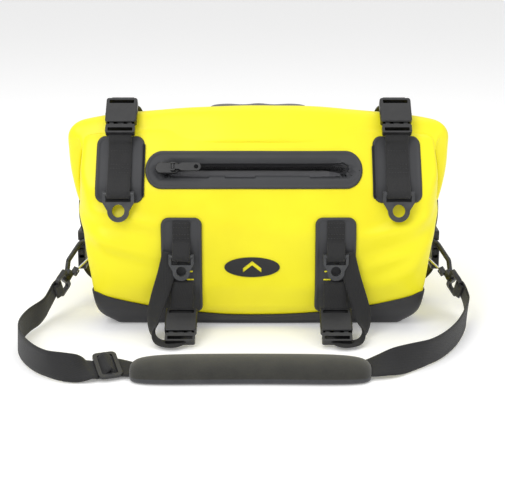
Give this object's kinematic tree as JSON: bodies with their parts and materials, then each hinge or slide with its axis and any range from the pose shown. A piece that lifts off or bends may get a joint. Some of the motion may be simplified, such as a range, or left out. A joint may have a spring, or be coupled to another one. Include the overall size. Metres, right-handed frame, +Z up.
{
  "type": "motorcycle tail bag",
  "caption": "Roll-top dry bag for a motorcycle seat, with a front zip pocket, lashing rings, side-release mounting straps, side rings and a padded shoulder strap.",
  "frame": {"origin": "on the ground plane under the middle of the bag's base", "axes": "+X along the bag to its right end, -Y out of the front face with the zip pocket, +Z up"},
  "size_m": [0.4852, 0.448, 0.2492],
  "materials": {
    "yellow_tarpaulin": "satin coated",
    "black_tarpaulin": "satin",
    "patch_rubber": "matt moulded",
    "zip_tape": "matt coated",
    "zip_plastic": "satin",
    "liner_fabric": "woven",
    "stiffener_board": "matt",
    "emblem_print": "matt",
    "ring_plastic": "satin",
    "webbing": "woven",
    "grip_fabric": "padded",
    "ring_gloss": "gloss",
    "buckle_plastic": "satin",
    "hook_plastic": "satin",
    "gate_steel": "bright wire",
    "pad_fabric": "moulded foam under cloth"
  },
  "bodies": {
    "root": {"attachment_patches": "patch_rubber", "base_board": "stiffener_board", "base_tray": "black_tarpaulin", "bottom_panel": "yellow_tarpaulin", "buckle_sockets": "buckle_plastic", "buckle_tongues": "buckle_plastic", "carry_handle": "webbing", "closure_stiffener": "stiffener_board", "emblem": "emblem_print", "end_webbing": "webbing", "front_panel": "yellow_tarpaulin", "handle_grip": "grip_fabric", "left_end_panel": "yellow_tarpaulin", "mounting_straps": "webbing", "pocket_liner": "liner_fabric", "rear_panel": "yellow_tarpaulin", "right_end_panel": "yellow_tarpaulin", "ring_webbing": "webbing", "roll_ends": "yellow_tarpaulin", "roll_top": "yellow_tarpaulin", "shoulder_pad": "pad_fabric", "shoulder_webbing": "webbing", "side_rings": "ring_gloss", "side_straps": "webbing", "strap_fittings": "buckle_plastic", "top_panel": "yellow_tarpaulin", "top_straps": "webbing", "zip_patch": "patch_rubber", "zip_tape": "zip_tape", "zip_teeth": "zip_plastic"},
    "zip_slider": {"zip_slider": "zip_plastic"},
    "zip_pull": {"zip_pull": "zip_plastic"},
    "ring_front_upper_left": {"ring_front_upper_left": "ring_plastic"},
    "ring_rear_upper_left": {"ring_rear_upper_left": "ring_plastic"},
    "ring_front_lower_left": {"ring_front_lower_left": "ring_plastic"},
    "ring_rear_lower_left": {"ring_rear_lower_left": "ring_plastic"},
    "ring_front_upper_right": {"ring_front_upper_right": "ring_plastic"},
    "ring_rear_upper_right": {"ring_rear_upper_right": "ring_plastic"},
    "ring_front_lower_right": {"ring_front_lower_right": "ring_plastic"},
    "ring_rear_lower_right": {"ring_rear_lower_right": "ring_plastic"},
    "prong_top_left_a": {"prong_top_left_a": "buckle_plastic"},
    "prong_top_left_b": {"prong_top_left_b": "buckle_plastic"},
    "prong_side_left_a": {"prong_side_left_a": "buckle_plastic"},
    "prong_side_left_b": {"prong_side_left_b": "buckle_plastic"},
    "prong_front_left_a": {"prong_front_left_a": "buckle_plastic"},
    "prong_front_left_b": {"prong_front_left_b": "buckle_plastic"},
    "prong_rear_left_a": {"prong_rear_left_a": "buckle_plastic"},
    "prong_rear_left_b": {"prong_rear_left_b": "buckle_plastic"},
    "prong_top_right_a": {"prong_top_right_a": "buckle_plastic"},
    "prong_top_right_b": {"prong_top_right_b": "buckle_plastic"},
    "prong_side_right_a": {"prong_side_right_a": "buckle_plastic"},
    "prong_side_right_b": {"prong_side_right_b": "buckle_plastic"},
    "prong_front_right_a": {"prong_front_right_a": "buckle_plastic"},
    "prong_front_right_b": {"prong_front_right_b": "buckle_plastic"},
    "prong_rear_right_a": {"prong_rear_right_a": "buckle_plastic"},
    "prong_rear_right_b": {"prong_rear_right_b": "buckle_plastic"},
    "snap_hook_left": {"snap_hook_left": "hook_plastic"},
    "hook_gate_left": {"hook_gate_left": "gate_steel"},
    "snap_hook_right": {"snap_hook_right": "hook_plastic"},
    "hook_gate_right": {"hook_gate_right": "gate_steel"}
  },
  "joints": [
    {"name": "zip_slide", "type": "slide", "parent": "root", "child": "zip_slider", "axis": [1, 0, 0], "range_m": [0, 0.172]},
    {"name": "zip_pull_swing", "type": "hinge", "parent": "zip_slider", "child": "zip_pull", "pos_m": [-0.092, -0.10619, 0.18171], "axis": [0, -0.5487, -0.836], "range_deg": [0, 175]},
    {"name": "ring_front_upper_left_swing", "type": "hinge", "parent": "root", "child": "ring_front_upper_left", "pos_m": [-0.15, -0.1174, 0.15397], "axis": [-1, 0, 0], "range_deg": [0, 100]},
    {"name": "ring_rear_upper_left_swing", "type": "hinge", "parent": "root", "child": "ring_rear_upper_left", "pos_m": [-0.15, 0.12394, 0.16693], "axis": [1, 0, 0], "range_deg": [0, 100]},
    {"name": "ring_front_lower_left_swing", "type": "hinge", "parent": "root", "child": "ring_front_lower_left", "pos_m": [-0.083, -0.1317, 0.08818], "axis": [-1, 0, 0], "range_deg": [0, 100]},
    {"name": "ring_rear_lower_left_swing", "type": "hinge", "parent": "root", "child": "ring_rear_lower_left", "pos_m": [-0.083, 0.1288, 0.11413], "axis": [1, 0, 0], "range_deg": [0, 100]},
    {"name": "ring_front_upper_right_swing", "type": "hinge", "parent": "root", "child": "ring_front_upper_right", "pos_m": [0.15, -0.1174, 0.15397], "axis": [-1, 0, 0], "range_deg": [0, 100]},
    {"name": "ring_rear_upper_right_swing", "type": "hinge", "parent": "root", "child": "ring_rear_upper_right", "pos_m": [0.15, 0.12394, 0.16693], "axis": [1, 0, 0], "range_deg": [0, 100]},
    {"name": "ring_front_lower_right_swing", "type": "hinge", "parent": "root", "child": "ring_front_lower_right", "pos_m": [0.083, -0.1317, 0.08818], "axis": [-1, 0, 0], "range_deg": [0, 100]},
    {"name": "ring_rear_lower_right_swing", "type": "hinge", "parent": "root", "child": "ring_rear_lower_right", "pos_m": [0.083, 0.1288, 0.11413], "axis": [1, 0, 0], "range_deg": [0, 100]},
    {"name": "prong_top_left_a_squeeze", "type": "hinge", "parent": "root", "child": "prong_top_left_a", "pos_m": [-0.1405, -0.07897, 0.22239], "axis": [0, -0.7071, 0.7071], "range_deg": [0, 9], "stiffness_Nm_per_rad": 0.05},
    {"name": "prong_top_left_b_squeeze", "type": "hinge", "parent": "root", "child": "prong_top_left_b", "pos_m": [-0.1595, -0.07897, 0.22239], "axis": [0, 0.7071, -0.7071], "range_deg": [0, 9], "stiffness_Nm_per_rad": 0.05},
    {"name": "prong_side_left_a_squeeze", "type": "hinge", "parent": "root", "child": "prong_side_left_a", "pos_m": [-0.2065, -0.0015, 0.0757], "axis": [-1, 0, 0], "range_deg": [0, 9], "stiffness_Nm_per_rad": 0.05},
    {"name": "prong_side_left_b_squeeze", "type": "hinge", "parent": "root", "child": "prong_side_left_b", "pos_m": [-0.2065, -0.0205, 0.0757], "axis": [1, 0, 0], "range_deg": [0, 9], "stiffness_Nm_per_rad": 0.05},
    {"name": "prong_front_left_a_squeeze", "type": "hinge", "parent": "root", "child": "prong_front_left_a", "pos_m": [-0.0735, -0.16226, 0.01231], "axis": [0, -0.4726, 0.8813], "range_deg": [0, 9], "stiffness_Nm_per_rad": 0.05},
    {"name": "prong_front_left_b_squeeze", "type": "hinge", "parent": "root", "child": "prong_front_left_b", "pos_m": [-0.0925, -0.16226, 0.01231], "axis": [0, 0.4726, -0.8813], "range_deg": [0, 9], "stiffness_Nm_per_rad": 0.05},
    {"name": "prong_rear_left_a_squeeze", "type": "hinge", "parent": "root", "child": "prong_rear_left_a", "pos_m": [-0.0925, 0.16226, 0.01231], "axis": [0, 0.4726, 0.8813], "range_deg": [0, 9], "stiffness_Nm_per_rad": 0.05},
    {"name": "prong_rear_left_b_squeeze", "type": "hinge", "parent": "root", "child": "prong_rear_left_b", "pos_m": [-0.0735, 0.16226, 0.01231], "axis": [0, -0.4726, -0.8813], "range_deg": [0, 9], "stiffness_Nm_per_rad": 0.05},
    {"name": "prong_top_right_a_squeeze", "type": "hinge", "parent": "root", "child": "prong_top_right_a", "pos_m": [0.1595, -0.07897, 0.22239], "axis": [0, -0.7071, 0.7071], "range_deg": [0, 9], "stiffness_Nm_per_rad": 0.05},
    {"name": "prong_top_right_b_squeeze", "type": "hinge", "parent": "root", "child": "prong_top_right_b", "pos_m": [0.1405, -0.07897, 0.22239], "axis": [0, 0.7071, -0.7071], "range_deg": [0, 9], "stiffness_Nm_per_rad": 0.05},
    {"name": "prong_side_right_a_squeeze", "type": "hinge", "parent": "root", "child": "prong_side_right_a", "pos_m": [0.2065, -0.0205, 0.0757], "axis": [1, 0, 0], "range_deg": [0, 9], "stiffness_Nm_per_rad": 0.05},
    {"name": "prong_side_right_b_squeeze", "type": "hinge", "parent": "root", "child": "prong_side_right_b", "pos_m": [0.2065, -0.0015, 0.0757], "axis": [-1, 0, 0], "range_deg": [0, 9], "stiffness_Nm_per_rad": 0.05},
    {"name": "prong_front_right_a_squeeze", "type": "hinge", "parent": "root", "child": "prong_front_right_a", "pos_m": [0.0925, -0.16226, 0.01231], "axis": [0, -0.4726, 0.8813], "range_deg": [0, 9], "stiffness_Nm_per_rad": 0.05},
    {"name": "prong_front_right_b_squeeze", "type": "hinge", "parent": "root", "child": "prong_front_right_b", "pos_m": [0.0735, -0.16226, 0.01231], "axis": [0, 0.4726, -0.8813], "range_deg": [0, 9], "stiffness_Nm_per_rad": 0.05},
    {"name": "prong_rear_right_a_squeeze", "type": "hinge", "parent": "root", "child": "prong_rear_right_a", "pos_m": [0.0735, 0.16226, 0.01231], "axis": [0, 0.4726, 0.8813], "range_deg": [0, 9], "stiffness_Nm_per_rad": 0.05},
    {"name": "prong_rear_right_b_squeeze", "type": "hinge", "parent": "root", "child": "prong_rear_right_b", "pos_m": [0.0925, 0.16226, 0.01231], "axis": [0, -0.4726, -0.8813], "range_deg": [0, 9], "stiffness_Nm_per_rad": 0.05},
    {"name": "hook_swivel_left", "type": "hinge", "parent": "root", "child": "snap_hook_left", "pos_m": [-0.198, -0.03584, 0.07266], "axis": [-0.4498, -0.6315, -0.6315], "range_deg": [-6, 6]},
    {"name": "hook_gate_open_left", "type": "hinge", "parent": "snap_hook_left", "child": "hook_gate_left", "pos_m": [-0.20838, -0.05827, 0.05023], "axis": [0, -0.7071, 0.7071], "range_deg": [0, 22], "stiffness_Nm_per_rad": 0.02},
    {"name": "hook_swivel_right", "type": "hinge", "parent": "root", "child": "snap_hook_right", "pos_m": [0.198, -0.03584, 0.07266], "axis": [0.4498, -0.6315, -0.6315], "range_deg": [-6, 6]},
    {"name": "hook_gate_open_right", "type": "hinge", "parent": "snap_hook_right", "child": "hook_gate_right", "pos_m": [0.20838, -0.05827, 0.05023], "axis": [0, 0.7071, -0.7071], "range_deg": [0, 22], "stiffness_Nm_per_rad": 0.02}
  ],
  "couplings": [
    {"joint": "prong_top_left_b_squeeze", "follows": "prong_top_left_a_squeeze", "ratio": 1},
    {"joint": "prong_side_left_b_squeeze", "follows": "prong_side_left_a_squeeze", "ratio": 1},
    {"joint": "prong_front_left_b_squeeze", "follows": "prong_front_left_a_squeeze", "ratio": 1},
    {"joint": "prong_rear_left_b_squeeze", "follows": "prong_rear_left_a_squeeze", "ratio": 1},
    {"joint": "prong_top_right_b_squeeze", "follows": "prong_top_right_a_squeeze", "ratio": 1},
    {"joint": "prong_side_right_b_squeeze", "follows": "prong_side_right_a_squeeze", "ratio": 1},
    {"joint": "prong_front_right_b_squeeze", "follows": "prong_front_right_a_squeeze", "ratio": 1},
    {"joint": "prong_rear_right_b_squeeze", "follows": "prong_rear_right_a_squeeze", "ratio": 1}
  ]
}
